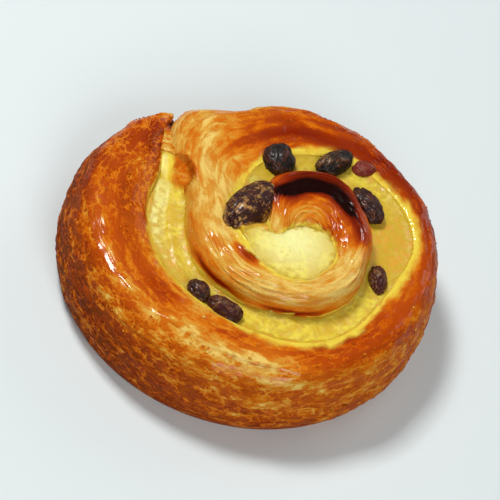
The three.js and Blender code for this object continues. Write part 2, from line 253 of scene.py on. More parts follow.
def pool_radius(turn, z):
    """Edge of the pool, a bowl that is widest at its top, over one lap of turns."""
    first = POOL_EDGE[0][0]
    around = np.mod(turn - first, LAP) + first
    return through(POOL_EDGE, around) * mix(POOL_LOW_SHARE, 1, smooth(0.35, 1, z / POOL_LEVEL))


def wall(turn, z):
    """Free outer wall: the round outline seen from the eye, less the insets of the tail and of
    the dive, drawn in towards the foot by the square of the height below the belly."""
    angle = np.radians(turn)
    along = EYE[0] * np.cos(angle) + EYE[1] * np.sin(angle)
    reach = -along + np.sqrt(along**2 - EYE @ EYE + ROLL_RADIUS**2)
    inset = np.where(turn < 300, through(TAIL_INSET, turn), through(DIVE_INSET, turn))
    return reach - inset - WALL_FOOT * np.maximum(0, 1 - z / WALL_BELLY) ** 2


def inner_side(turn, z):
    """Inner side of the dough: against the custard strip, and round the pool further in."""
    strip = np.where(turn > CUSTARD_TO, 0, through(STRIP_RADIUS, turn) + strip_half(turn, z))
    pool = np.where(turn > POOL_FROM, pool_radius(turn, z), 0)
    return np.maximum(strip, pool) + GAP


def outer_side(turn, z):
    """Outer side of the dough: the free wall, then the inner side of the custard strip one
    lap further out."""
    lap = through(STRIP_RADIUS, turn - LAP) - strip_half(turn - LAP, z) - GAP
    return mix(wall(turn, z), lap, smooth(*WALL_ENDS, turn))


WAVE_COUNTS = (2, 3, 5, 9, 14)
WAVE_HEIGHT = 0.55
WAVE_SEED = 11


def slow_wave(turn):
    """Slow unevenness of the hand-rolled strip: the mean of five sines along the turn, their
    phases and sizes drawn one after the other by a linear congruence."""
    state, total = WAVE_SEED, 0
    for count in WAVE_COUNTS:
        pair = []
        for _ in range(2):
            state = (state * 1664525 + 1013904223) % 4294967296
            pair.append(state / 4294967296)
        total = total + (0.5 + pair[1]) * np.sin(np.radians(turn) * count + 2 * np.pi * pair[0])
    return total / len(WAVE_COUNTS)


TONGUE_SINK = 2.2
TONGUE_SINKS_FROM = 866
ROW_STEP = 0.62
FINE_ROWS = 4000
CROWN_LEVELS = (25, 15)
SIDE_COLUMNS = 8
INNER_COLUMNS = 46
OUTER_COLUMNS = 74
FOOT_COLUMNS = 14


def strip_rows():
    """Turns from tail to tongue, spaced so that neighbours on the crown are one step apart."""
    fine = np.linspace(TAIL_TURN, TONGUE_TURN, FINE_ROWS)
    crown = (inner_side(fine, CROWN_LEVELS[0]) + outer_side(fine, CROWN_LEVELS[1])) / 2
    length = np.cumsum(crown * np.radians(fine[1] - fine[0]))
    return np.interp(np.linspace(0, length[-1], int(length[-1] / ROW_STEP)), length, fine)


def strip_surface(turn):
    """The strip as a grid of distance from the eye and height: up the inner side, over the crest
    by two quarter bows of a rounded square, and down the outer side to its foot."""
    shut = smooth(*WALL_ENDS, turn)
    inner_level = through(CUSTARD_LEVEL, turn)
    outer_level = mix(WALL_BELLY, through(CUSTARD_LEVEL, turn - LAP), shut)
    inner_top, outer_top = inner_level + SHOULDER, outer_level + SHOULDER * shut
    sunk = TONGUE_SINK * smooth(TONGUE_SINKS_FROM, TONGUE_TURN, turn)
    crest = through(CREST, turn) + WAVE_HEIGHT * slow_wave(turn) - sunk
    inner, outer = inner_side(turn, inner_level), outer_side(turn, outer_level)
    middle = mix(inner, outer, through(CREST_ACROSS, turn))
    up = np.linspace(0, 1, SIDE_COLUMNS, endpoint=False)
    bow_in = np.linspace(0, 1, INNER_COLUMNS, endpoint=False) * np.pi / 2
    bow_out = np.linspace(0, 1, OUTER_COLUMNS) * np.pi / 2
    down = np.linspace(1, 0, FOOT_COLUMNS)
    distance = [
        inner_side(turn, up * inner_level),
        middle - (middle - inner) * np.cos(bow_in) ** ROUNDNESS,
        middle + (outer - middle) * np.sin(bow_out) ** ROUNDNESS,
        outer_side(turn, down * outer_level),
    ]
    height = [
        up * inner_level,
        inner_top + (crest - inner_top) * np.sin(bow_in) ** ROUNDNESS,
        outer_top + (crest - outer_top) * np.cos(bow_out).clip(0) ** ROUNDNESS,
        down * outer_level,
    ]
    return np.hstack(distance), np.hstack(height)


def from_eye(turn, distance, z):
    """Points at a distance from the eye along a turn, and at a height."""
    angle = np.radians(turn)
    x = EYE[0] + distance * np.cos(angle)
    y = EYE[1] + distance * np.sin(angle)
    return np.stack(np.broadcast_arrays(x, y, z), -1)


def outward(points):
    """Unit normals of a grid of points whose columns run round a section: the cross product of
    the steps along the columns and along the rows."""
    along = np.gradient(points, axis=0)
    round_ = np.roll(points, -1, 1) - np.roll(points, 1, 1)
    normal = np.cross(round_, along)
    return normal / np.maximum(np.linalg.norm(normal, axis=-1, keepdims=True), 1e-9)


def closed_skin(points):
    """Corners and faces of a closed skin over a grid whose columns run round: four-sided faces
    between the rows, and a fan to the middle of the first and of the last row."""
    rows, columns = points.shape[:2]
    corner = np.arange(rows * columns).reshape(rows, columns)
    after = np.roll(corner, -1, 1)
    quads = np.stack([corner[:-1], after[:-1], after[1:], corner[1:]], -1).reshape(-1, 4)
    first, last = rows * columns, rows * columns + 1
    start = np.stack([np.full(columns, first), after[0], corner[0]], -1)
    end = np.stack([np.full(columns, last), corner[-1], after[-1]], -1)
    hubs = np.stack([points[0].mean(0), points[-1].mean(0)])
    corners = np.vstack([points.reshape(-1, 3), hubs])
    return corners, quads.tolist() + start.tolist() + end.tolist()


def with_hubs(values):
    """A grid of values as one list, with the mean of the first and last row for the two hubs."""
    flat = values.reshape(-1, *values.shape[2:])
    return np.concatenate([flat, values[0].mean(0)[None], values[-1].mean(0)[None]])


def as_one_mesh(skins):
    """Several closed skins, each with facts at its corners, as the corners, faces and facts of
    one mesh."""
    corners, faces, facts = [], [], {}
    for points, skin_facts in skins:
        skin_corners, skin_faces = closed_skin(points)
        shift = sum(len(block) for block in corners)
        corners.append(skin_corners)
        faces += [[corner + shift for corner in face] for face in skin_faces]
        for fact, values in skin_facts.items():
            facts.setdefault(fact, []).append(with_hubs(values))
    return np.vstack(corners), faces, {fact: np.concatenate(v) for fact, v in facts.items()}


def add_object(name, data):
    """A new object in the scene over its data."""
    made = bpy.data.objects.new(name, data)
    bpy.context.scene.collection.objects.link(made)
    return made


def make_piece(name, corners, faces, facts, finish, slot):
    """A smooth mesh piece in millimetres that rides on the roll, with named numbers or vectors
    kept at its corners for its finish to read."""
    mesh = bpy.data.meshes.new(name)
    mesh.from_pydata((corners * MM).tolist(), [], faces)
    mesh.shade_smooth()
    for fact, values in facts.items():
        kind, field = ("FLOAT", "value") if values.ndim == 1 else ("FLOAT_VECTOR", "vector")
        layer = mesh.attributes.new(fact, kind, "POINT")
        layer.data.foreach_set(field, np.ascontiguousarray(values, np.float32).ravel())
    mesh.materials.append(finish)
    piece = add_object(name, mesh)
    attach(piece, "root")
    return piece


class Wire:
    """One output of a node in a material: + - and * on it add Math nodes, and node() adds any
    other. A new finish starts from a wire with no output yet."""

    def __init__(self, tree, socket):
        self.tree, self.socket = tree, socket

    def node(self, kind, settings, values, out=0):
        """A node of a kind: its settings are set first, then the values or wires of its sockets
        by name or number, and the chosen output comes back."""
        made = self.tree.nodes.new(kind)
        for key, setting in settings.items():
            if key == "stops":
                ramp = made.color_ramp
                while len(ramp.elements) < len(setting):
                    ramp.elements.new(0.5)
                for stop, (place, colour) in zip(ramp.elements, setting):
                    stop.position, stop.color = place, colour
            else:
                setattr(made, key, setting)
        for key, value in values.items():
            if isinstance(value, Wire):
                self.tree.links.new(value.socket, made.inputs[key])
            else:
                made.inputs[key].default_value = value
        return Wire(self.tree, made.outputs[out])

    def maths(self, operation, *values):
        """A Math node's result for the values or wires given."""
        return self.node("ShaderNodeMath", {"operation": operation}, dict(enumerate(values)))

    def __add__(self, other):
        return self.maths("ADD", self, other)

    def __radd__(self, other):
        return self.maths("ADD", other, self)

    def __sub__(self, other):
        return self.maths("SUBTRACT", self, other)

    def __rsub__(self, other):
        return self.maths("SUBTRACT", other, self)

    def __mul__(self, other):
        return self.maths("MULTIPLY", self, other)

    def __rmul__(self, other):
        return self.maths("MULTIPLY", other, self)

    def fact(self, name, out="Fac"):
        """What make_piece has kept at the corners under a name."""
        return self.node("ShaderNodeAttribute", {"attribute_name": name}, {}, out)

    def place(self):
        """Where a point of the piece lies, in metres."""
        return self.node("ShaderNodeTexCoord", {}, {}, "Object")

    def between(self, low, high):
        """0 where this is below low, 1 above high, and an eased rise between."""
        settings = {"interpolation_type": "SMOOTHSTEP"}
        values = {"Value": self, "From Min": low, "From Max": high}
        return self.node("ShaderNodeMapRange", settings, values)

    def stretched(self, factors):
        """This vector, each part times a factor."""
        return self.node("ShaderNodeVectorMath", {"operation": "MULTIPLY"}, {0: self, 1: factors})

    def noise(self, scale, detail, roughness, distortion=0, out=0):
        """Noise from about 0.3 to 0.7 at this place, at a scale."""
        values = {"Vector": self, "Scale": scale, "Detail": detail, "Roughness": roughness}
        return self.node("ShaderNodeTexNoise", {}, {**values, "Distortion": distortion}, out)

    def cracks(self, factors, warp, width):
        """1 on the borders of random cells at this place, stretched by factors and warped by
        noise, falling to 0 a width away."""
        place = self.stretched(factors)
        shift = {0: place.noise(2.3, 2, 0.5, out="Color"), 1: (warp,) * 3, 2: place}
        bent = self.node("ShaderNodeVectorMath", {"operation": "MULTIPLY_ADD"}, shift)
        cells = {"Vector": bent, "Scale": 1.0}
        edge = self.node("ShaderNodeTexVoronoi", {"feature": "DISTANCE_TO_EDGE"}, cells)
        return 1 - edge.between(0, width)

    def blend(self, first, second):
        """The first colour where this is 0, the second where it is 1."""
        values = {0: self, 6: first, 7: second}
        return self.node("ShaderNodeMix", {"data_type": "RGBA"}, values, 2)

    def towards(self, colour, share):
        """This colour, blended towards another by a share."""
        values = {0: share, 6: self, 7: colour}
        return self.node("ShaderNodeMix", {"data_type": "RGBA"}, values, 2)

    def bump(self, strength, depth):
        """The normals that this height gives a surface, at a strength and a depth in metres."""
        values = {"Strength": strength, "Distance": depth, "Height": self}
        return self.node("ShaderNodeBump", {}, values)


def srgb(red, green, blue):
    """A colour given as it looks on a screen, 0 to 255, in the linear values that shaders take,
    and opaque."""
    shown = np.array([red, green, blue]) / 255
    linear = np.where(shown < 0.04045, shown / 12.92, ((shown + 0.055) / 1.055) ** 2.4)
    return (*linear.tolist(), 1.0)


def new_finish(name, constants):
    """A material with its shader's plain values set, and a wire to build the rest from."""
    material = bpy.data.materials.new(name)
    material.use_nodes = True
    for socket, value in constants.items():
        material.node_tree.nodes["Principled BSDF"].inputs[socket].default_value = value
    return material, Wire(material.node_tree, None)


def feed(material, wires):
    """Links each wire to the socket of that name on the material's shader."""
    shader = material.node_tree.nodes["Principled BSDF"]
    for socket, wire in wires.items():
        material.node_tree.links.new(wire.socket, shader.inputs[socket])


turn = strip_rows()[:, None]
distance, height = strip_surface(turn)
base = from_eye(turn, distance, height)
normal = outward(base)
crown_column = SIDE_COLUMNS + INNER_COLUMNS
edge_column = crown_column + OUTER_COLUMNS - 1

# Places on the strip in millimetres: along it, across it from its crest, and from its two edges.
crown = base[:, crown_column]
along = np.r_[0, np.cumsum(np.linalg.norm(np.diff(crown, axis=0), axis=1))][:, None]
steps = np.linalg.norm(np.diff(base, axis=1), axis=-1)
across = np.hstack([np.zeros((len(base), 1)), np.cumsum(steps, 1)])
across = across - across[:, crown_column : crown_column + 1]
from_custard = across - across[:, SIDE_COLUMNS : SIDE_COLUMNS + 1]
from_outer_edge = across[:, edge_column : edge_column + 1] - across

# Where the strip is the ring round the pool, where its free wall is, and where relief shows.
RING_TURNS = (535, 570)
WALL_ACROSS = (9, 16)
RELIEF_PAST_CUSTARD = (-1.5, 1)
RELIEF_ABOVE_FOOT = (0, 2.5)

ring = smooth(*RING_TURNS, turn)
outside = 1 - smooth(*WALL_ENDS, turn)
wall_share = outside * smooth(*WALL_ACROSS, across)
shown = np.where(outside > 0.5, smooth(*RELIEF_ABOVE_FOOT, height), 1)
shown = smooth(*RELIEF_PAST_CUSTARD, from_custard) * shown

# Relief: slow lumps, small blisters and a fine grain, layers that run along the ring as close
# ridges, split layers like thin shingles and crumbly lumps down the wall, and pleats in the crest
# at the right.
LUMP_HEIGHT = 0.36
GRAIN_HEIGHT = 0.03
BLISTER_HEIGHT = 0.14
RIDGE_SPACING, RIDGE_HEIGHT = 1.6, 0.3
SHINGLE_SPACING, SHINGLE_HEIGHT = 2.3, 0.3
CRUMBLY_HEIGHT = 0.3
PLEAT_SPACING, PLEAT_HEIGHT = 1.7, 0.2
PLEATS_AT_TURN, PLEATS_OVER_TURNS = 392, 32
PLEATS_ACROSS, PLEATS_WIDTH = -4.2, 2.2

lumps = LUMP_HEIGHT * rough(21, 3, along / 9, across / 6)
sway = (across + 0.1 * along) / RIDGE_SPACING + 1.3 * rough(31, 3, along / 12, across / 4)
ridges = (0.5 + 0.5 * np.cos(2 * np.pi * sway)) ** 1.4 - 0.4
ridges = 1.3 * ridges * smooth(-0.35, 0.45, rough(35, 3, along / 4.5, across / 2.2))
ridges = ridges * (1 - 0.8 * smooth(5, 9, across))
shingle = across / SHINGLE_SPACING + 1.9 * rough(51, 3, along / 6, across / 4)
shingle = (shingle % 1) ** 1.6 * smooth(1, 0.86, shingle % 1)
crumbly = rough(61, 4, along / 1.7, across / 1.3)
fine_grain = rough(71, 2, along / 0.9, across / 0.7)
pleats = along / PLEAT_SPACING + 0.6 * rough(75, 2, along / 5, across / 3)
pleats = np.cos(2 * np.pi * pleats) * hump(turn, PLEATS_AT_TURN, PLEATS_OVER_TURNS)
pleats = pleats * hump(across, PLEATS_ACROSS, PLEATS_WIDTH)
blisters = (1 - 0.2 * ring) * rough(73, 3, along / 2.4, across / 2)
relief = lumps + RIDGE_HEIGHT * ridges * mix(0.22, 1, ring) + GRAIN_HEIGHT * fine_grain
relief = relief + wall_share * (SHINGLE_HEIGHT * shingle + CRUMBLY_HEIGHT * crumbly)
relief = relief + PLEAT_HEIGHT * pleats + BLISTER_HEIGHT * blisters

# The free edges of single leaves: each a rise that ends in a step down, in broken stretches.
LEAF_RISE_ACROSS = (-4.5, -0.2, -0.15, 0.5)
LEAF_FADES_IN, LEAF_FADES_OUT = 9, 14
LEAF_WANDER = 1.5

edge_lines = 0
for number, (leaf_from, leaf_to, leaf_across, leaf_step) in enumerate(LEAF_EDGES):
    there = window(turn, leaf_from, leaf_from + LEAF_FADES_IN, leaf_to - LEAF_FADES_OUT, leaf_to)
    there = there * smooth(-0.6, 0.3, rough(430 + number, 2, along / 5, 0 * along))
    wander = LEAF_WANDER * rough(400 + number, 3, along / 7, 0 * along)
    past_edge = across - (leaf_across + wander)
    relief = relief + leaf_step * window(past_edge, *LEAF_RISE_ACROSS) * there
    edge_lines = np.maximum(edge_lines, hump(past_edge, -0.9, 1.3) * there)
dough_points = base + normal * (relief * shown)[..., None]
dough_points[..., 2] = np.maximum(dough_points[..., 2], 0)

# Where the last lap dives in behind the tail it has torn: a shallow bay with an arched edge, whose
# floor slopes down to the custard.
BAY_TURNS = (500, 504, 536, 542)
BAY_AT = (-26, 8.4)
BAY_LEFT, BAY_RIGHT = 8, 6
BAY_ABOVE, BAY_BELOW = 5.4, 6.9
BAY_LEAN = 0.35
BAY_NARROWING = 0.22
BAY_TIP = (-1.4, -2.0)
BAY_LEVEL = 21.2
BAY_RISE = 0.32
BAY_UP_SLOPE = 0.34
BAY_SINK = 3
BAY_BAKE, BAY_BAKE_UNDER_ARCH = 0.42, 0.32
UNDER_ARCH = (6.5, 10)
ARCH_FROM = (4, 8)
ARCH_WIDTH = 0.07
ARCH_HEIGHT = 0.5
CUSTARD_LINE_AT = (-24, -2)
CUSTARD_LINE_SLANT = 0.29


def bay(points):
    """How far a place lies from the middle of the bay, 1 on its edge: a leaning ellipse above its
    middle, and below it a wedge that narrows towards the tip."""
    x = points[..., 0] - BAY_AT[0]
    y = points[..., 1] - BAY_AT[1] + BAY_LEAN * x
    u = x / np.where(x < 0, BAY_LEFT, BAY_RIGHT)
    v = y / np.where(y < 0, BAY_BELOW, BAY_ABOVE)
    narrowed = np.maximum(0.15, 1 + np.minimum(v, 0) * BAY_NARROWING)
    uneven = 0.05 * rough(131, 2, points[..., 0] / 1.6, points[..., 1] / 1.6)
    return np.hypot(u / narrowed, np.maximum(v, 0)) + uneven + smooth(*BAY_TIP, v)


def bay_arch(points):
    """1 on the arched edge of the bay, dying away to both sides of it and below its middle."""
    return hump(bay(points), 1, ARCH_WIDTH) * smooth(*ARCH_FROM, points[..., 1])


def past_custard(points):
    """How far a place lies to the right of the slanted ragged line where the custard ends."""
    ragged_line = 0.7 * rough(135, 2, points[..., 0] / 1.3, points[..., 1] / 1.3)
    slanted = CUSTARD_LINE_SLANT * (points[..., 1] - CUSTARD_LINE_AT[1])
    return points[..., 0] - CUSTARD_LINE_AT[0] + slanted + ragged_line


def bay_floor(points):
    """Height of the bay's floor: it rises from the custard's edge, and sinks below it beyond."""
    past = past_custard(points)
    up_slope = BAY_UP_SLOPE * np.maximum(0, points[..., 1] - BAY_AT[1])
    return BAY_LEVEL + BAY_RISE * past + up_slope - BAY_SINK * smooth(0.5, 3.5, -past)


def bay_bake(points):
    """How dark the bay's floor is baked: a little paler close under the arch."""
    return mix(BAY_BAKE, BAY_BAKE_UNDER_ARCH, smooth(*UNDER_ARCH, points[..., 1]))


def bay_yolk(points):
    """Custard colour in the bay: full on the custard's side, golden in the wedge below."""
    tip = 0.85 * (1 - smooth(-5, 2.5, points[..., 1]))
    return np.maximum(1.7 * (1 - smooth(-1.6, 3.4, past_custard(points))), tip)


near_tail = window(turn, *BAY_TURNS)
arch = near_tail * bay_arch(dough_points)
inner_line = 0.78 + 0.14 * smooth(*UNDER_ARCH, dough_points[..., 1])
in_bay = near_tail * (1 - smooth(inner_line, 1.02, bay(dough_points)))
height_now, floor_here = dough_points[..., 2], bay_floor(dough_points)
lowered = np.where(height_now > floor_here, mix(height_now, floor_here, in_bay), height_now)
dough_points[..., 2] = lowered + ARCH_HEIGHT * arch * (height_now > BAY_LEVEL)

# Bake and cracks from their lines, with painted highlight on the ridge tops and painted shade in
# the valleys between them, and leaf edges paler.
BAKE_UNEVEN = 0.07
RIDGE_LIGHT_AND_SHADE = 0.12
LEAF_EDGE_PALER = 0.22
BAKE_LIMIT = 1.35
ARCH_BAKE = 0.34

bake = across_lines(BAKE_AND_SHADE, turn, across)
bake = bake + BAKE_UNEVEN * rough(81, 3, along / 13, across / 3.2)
# Ridge tops painted lighter and valleys darker: painted highlight and painted shade.
bake = bake - RIDGE_LIGHT_AND_SHADE * ridges * mix(0.2, 1, ring)
burnt_line = through(BURNT_ACROSS, turn) + 0.5 * rough(85, 3, along / 3, 0 * along)
bake = bake + through(BURNT_MORE, turn) * hump(across, burnt_line, BURNT_WIDTH)
browned_line = through(BROWNED_FROM_EDGE, turn) + 0.5 * rough(87, 3, along / 3, 0 * along)
bake = bake + through(BROWNED_MORE, turn) * hump(from_outer_edge, browned_line, BROWNED_WIDTH)
bake = np.clip(bake - LEAF_EDGE_PALER * edge_lines, 0, BAKE_LIMIT)
bake = mix(bake, bay_bake(dough_points), in_bay) + ARCH_BAKE * arch
split = across_lines(SPLIT, turn, across) * (1 - in_bay)

# Custard baked on to the dough: beside the strip on both sides, on the tongue and in the bay.
TAIL_CLEAN_TO = (149, 158)
FOOT_FILM_FROM = (508, 522)
TONGUE_FILM_FROM, TONGUE_FILM = 872, 0.75

ragged = 1.3 * rough(95, 3, along / 3, across / 2)
yolk = 1.15 * (1 - smooth(-0.5, through(FILM, turn), from_custard + ragged))
foot_yolk = 1 - smooth(0, through(FOOT_FILM, turn), from_outer_edge + ragged)
yolk = np.maximum(yolk, smooth(*FOOT_FILM_FROM, turn) * foot_yolk)
yolk = np.maximum(yolk, TONGUE_FILM * smooth(TONGUE_FILM_FROM, TONGUE_TURN, turn))
yolk = mix(yolk * smooth(*TAIL_CLEAN_TO, turn), bay_yolk(dough_points), in_bay)

# The wall and the bay have no glaze, and the inner lip beside the tail has little.
MATT_FROM, MATT_FADES_OVER = (3, 1), 7
MATT_MOVES_AT = (225, 250)
LIP_ENDS = (195, 225)

matt_from = mix(*MATT_FROM, smooth(*MATT_MOVES_AT, turn))
matt = outside * smooth(matt_from, matt_from + MATT_FADES_OVER, across)
inner_lip = smooth(-1, -4, across) * (1 - smooth(*LIP_ENDS, turn))
matt = np.maximum(matt, np.maximum(1.2 * in_bay, 0.8 * inner_lip))

CREAM_DOUGH = srgb(228, 194, 104)
GOLDEN = srgb(212, 152, 54)
ORANGE = srgb(208, 112, 12)
CHESTNUT = srgb(180, 72, 2)
RED_BROWN = srgb(130, 32, 1)
TAN = srgb(170, 106, 32)
BURNT = srgb(26, 5, 3)
YOLK = srgb(230, 206, 70)
PALE_YOLK = srgb(240, 234, 148)

crust, start = new_finish("egg_washed_crust", {
    "IOR": 1.45, "Specular IOR Level": 0.02, "Coat Roughness": 0.12, "Coat IOR": 1.4,
})
place = start.fact("strip", "Vector")
baked_and_shaded = start.fact("bake")
cracked = start.fact("split")
yellowed = start.fact("yolk")
unglazed = start.fact("matt")
patches = place.stretched((0.1, 0.16, 1)).noise(1.0, 2, 0.5, 1.0)
streaks = place.stretched((0.12, 0.6, 1)).noise(1.0, 3, 0.5, 0.6)
mottle = place.stretched((0.2, 0.36, 1)).noise(1.0, 3, 0.5, 0.9)
freckles = place.noise(1.7, 2, 0.5)
fibres = place.stretched((0.22, 0.32, 1)).noise(1.0, 4, 0.5, 1.4)
big_cracks = place.cracks((0.1, 0.2, 1), 0.8, 0.1)
small_cracks = place.cracks((0.42, 0.5, 1), 1.1, 0.2)
# Thin dark crease lines, darkest on the matt wall: painted shade in the creases between flaky
# layers.
crease_shade = place.cracks((0.2, 0.42, 1), 1.5, 0.12)
paler = big_cracks.maths("MAXIMUM", big_cracks, small_cracks * 0.7)
paler = paler * mottle.between(0.34, 0.48) * cracked
darkness = baked_and_shaded + (patches - 0.5) * (0.7 - unglazed * 0.2) + (fibres - 0.5) * unglazed * 1.3
darkness = darkness + (streaks - 0.5) * (0.75 - cracked * 0.45)
darkness = darkness + (mottle.between(0.32, 0.68) - 0.5) * (0.1 + cracked * (0.5 - baked_and_shaded * 0.4))
darkness = darkness + (freckles - 0.5) * (0.24 + unglazed * 0.16) + crease_shade * unglazed * 0.18
darkness = darkness - paler * (0.12 + baked_and_shaded * 0.38)
darkest = baked_and_shaded * 0.62 + 0.24 + crease_shade * unglazed * 0.1
crust_colour = darkness.node("ShaderNodeValToRGB", {"stops": [
    (0.0, CREAM_DOUGH), (0.2, GOLDEN), (0.42, ORANGE), (0.62, CHESTNUT), (0.8, RED_BROWN),
    (0.95, BURNT),
]}, {"Fac": darkness.maths("MINIMUM", darkness, darkest)})
crust_colour = crust_colour.towards(TAN, unglazed * (fibres - 0.25) * 0.6)
tint = (yellowed * (0.2 + mottle * 1.6)).between(0.1, 1.1)
crust_colour = crust_colour.towards(YOLK, tint)
crust_colour = crust_colour.towards(PALE_YOLK, yellowed.between(1.2, 1.7) * 0.8)
wet = mottle * 0.4 + streaks * 0.25 + freckles * 0.35
glazed = (1 - unglazed * 0.8) * (0.08 + 0.92 * wet.between(0.42, 0.56))
flakes = mottle * 0.8 + streaks * 0.5 + freckles * 0.22 - paler * 0.3
feed(crust, {
    "Base Color": crust_colour,
    "Roughness": 0.45 + unglazed * 0.25,
    "Coat Weight": glazed * (1 - 0.8 * baked_and_shaded.between(0.8, 1.05)),
    "Normal": flakes.bump(0.6, 0.001),
})

# The web of dough that closes the notch between the tail and the lap that dives in behind it:
# torn and tan outside the bay, orange inside it, dark at its torn end with painted shade in the
# notch, and sunk under the custard further on.
WEB_TOP = [
    [137, 17], [141, 19], [144, 21], [147, 22.6], [150, 23.3], [153, 22.8], [156, 22], [160, 21],
]
WEB_TURNS = np.linspace(138.6, 176, 84)[:, None]
WEB_COLUMNS = 44
WEB_THICKNESS = 3.5
WEB_TUCK = 1.2
WEB_SIDES_RISE = 0.3
WEB_BUMPS = 0.3
WEB_SINK = 4
WEB_SINKS_BETWEEN = (156, 168)
WEB_TORN_BETWEEN = (140, 146)
MM_PER_DEGREE = 0.75
WEB_BAKE, WEB_BAKE_UNEVEN = 0.42, 0.3
WEB_NOTCH_SHADE, WEB_ARCH_BAKE = 0.8, 0.24


def both_sides(values):
    """A grid of values for the top of a sheet, repeated for its underside."""
    values = np.broadcast_to(values, (len(WEB_TURNS), WEB_COLUMNS, *values.shape[2:]))
    return np.concatenate([values, values[:, ::-1]], 1)


share = np.linspace(-1, 1, WEB_COLUMNS)
reach = through(STRIP_HALF, WEB_TURNS) + GAP + WEB_TUCK
web_along, web_across = WEB_TURNS * MM_PER_DEGREE + 0 * share, share * reach
web_roughness = rough(145, 3, web_along / 2, web_across / 1.6)
web_radius = through(STRIP_RADIUS, WEB_TURNS) + web_across
web_top = from_eye(WEB_TURNS, web_radius, through(WEB_TOP, WEB_TURNS))
web_outside = smooth(0.9, 1.04, bay(web_top))
web_arch = bay_arch(web_top)
sinks = smooth(*WEB_SINKS_BETWEEN, WEB_TURNS + 3 * web_roughness)
web_level = mix(bay_floor(web_top), web_top[..., 2], web_outside) - WEB_SINK * sinks
web_level = web_level + WEB_SIDES_RISE * np.abs(share) ** 3
web_level = web_level + WEB_BUMPS * web_roughness * web_outside
web_yolk = np.maximum(bay_yolk(web_top), 2 * sinks) * (1 - web_outside)
web_bake_and_shade = mix(bay_bake(web_top), WEB_BAKE + WEB_BAKE_UNEVEN * web_roughness, web_outside)
web_bake_and_shade = web_bake_and_shade + WEB_ARCH_BAKE * web_arch
# Darker at the torn end: painted shade in the notch.
web_bake_and_shade = web_bake_and_shade + WEB_NOTCH_SHADE * (1 - smooth(*WEB_TORN_BETWEEN, WEB_TURNS))
web_top[..., 2] = web_level + ARCH_HEIGHT * web_arch
web_points = np.concatenate([web_top, (web_top - (0, 0, WEB_THICKNESS))[:, ::-1]], 1)

# Crumbs of broken leaves that lie on the crown and on the wall: small flattened lumps.
CRUMB_COUNT = 110
CRUMBS_ALONG = 0.62
CRUMBS_FROM_ROW = 3
CRUMB_COLUMNS = (-14, 50)
CRUMB_HALF = (0.2, 0.55)
CRUMB_FLATNESS = 0.35
CRUMB_LIFT = 0.1
CRUMBS_FROM_CUSTARD = 3
CRUMBS_TO_TURN = 500

crumb_number = np.arange(CRUMB_COUNT)
crumb_row = (draws(161, crumb_number) * (len(turn) * CRUMBS_ALONG)).astype(int)
crumb_row = crumb_row + CRUMBS_FROM_ROW
crumb_column = draws(162, crumb_number) * (CRUMB_COLUMNS[1] - CRUMB_COLUMNS[0])
crumb_column = crumb_column.astype(int) + crown_column + CRUMB_COLUMNS[0]
crumb_sizes = np.stack([mix(*CRUMB_HALF, draws(163 + n, crumb_number)) for n in range(3)], -1)
latitude = np.linspace(np.pi, 0, 6)[1:-1, None]
longitude = np.linspace(0, 2 * np.pi, 8, endpoint=False)
ball = np.stack(np.broadcast_arrays(
    np.sin(latitude) * np.cos(longitude),
    np.sin(latitude) * np.sin(longitude),
    CRUMB_FLATNESS * np.cos(latitude),
), -1)
crumbs = []
for number, (row, column, sizes) in enumerate(zip(crumb_row, crumb_column, crumb_sizes)):
    if from_custard[row, column] < CRUMBS_FROM_CUSTARD or turn[row, 0] > CRUMBS_TO_TURN:
        continue
    spin = draws(170, number, row) * np.pi
    flat = np.array([[np.cos(spin), np.sin(spin), 0], [-np.sin(spin), np.cos(spin), 0], [0, 0, 1]])
    up_there = normal[row, column]
    side_there = np.cross(up_there, (0.3, 0.2, 1.0))
    side_there = side_there / np.linalg.norm(side_there)
    axes = flat @ np.stack([side_there, np.cross(up_there, side_there), up_there])
    lump = ball * sizes * (1 + 0.3 * rough(175 + number, 1, *(ball * 2).T)).T[..., None]
    crumb_points = dough_points[row, column] + CRUMB_LIFT * up_there + lump @ axes
    shade = bake[row, column] - 0.3 * draws(171, number, column) + 0 * crumb_points[..., 0]
    crumbs.append((crumb_points, {
        "strip": crumb_points, "bake": shade, "split": 0 * shade, "yolk": 0 * shade,
        "matt": 0 * shade + 1,
    }))

# The place that the finish reads: along and across the strip, but in the bay, whose floor is
# calmer, the place over the table at a slower pitch.
CALM_PITCH = (0.5, 0.4, 0)

strip_place = np.stack(np.broadcast_arrays(along, across, 0.0 * across), -1)
strip_place = np.where(in_bay[..., None] > 0.5, dough_points * CALM_PITCH, strip_place)
web_place = mix(web_top * CALM_PITCH, web_top * (1, 1, 0), web_outside[..., None])
dough_mesh = as_one_mesh([
    (dough_points, {
        "strip": strip_place, "bake": bake, "split": split, "yolk": yolk, "matt": matt,
    }),
    (web_points, {
        "strip": both_sides(web_place), "bake": both_sides(web_bake_and_shade),
        "split": both_sides(web_outside), "yolk": both_sides(web_yolk),
        "matt": both_sides(mix(1.2, 0.9, web_outside)),
    }),
    *crumbs,
])
dough = make_piece("dough_strip", *dough_mesh, crust, "crust")
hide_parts("dough_swirl")

# The custard
# Pastry cream spread on the dough before it is rolled up: baked to a soft glossy yellow skin in
# the groove between the laps, and run together into a pool in the middle of the swirl.
CUSTARD_BASE = 1.0
CUSTARD_TUCK = GAP + 0.5
CUSTARD_SIDE_ROWS = 24
CUSTARD_TOP_ROWS = 24
CUSTARD_TURN_STEP = 1.5
CROWN_UNEVEN = 0.5
MENISCUS = 1.5
INTO_POOL_BETWEEN = (512, 524)
POOL_JOIN_DEPTH = 0.9
POOL_TURN_STEP = 3
POOL_CROWN = 0.9
POOL_MENISCUS = 0.9
LID_SHARES = (0.98, 0.03)
LID_ROWS = 26
CUSTARD_VOXEL = 0.5

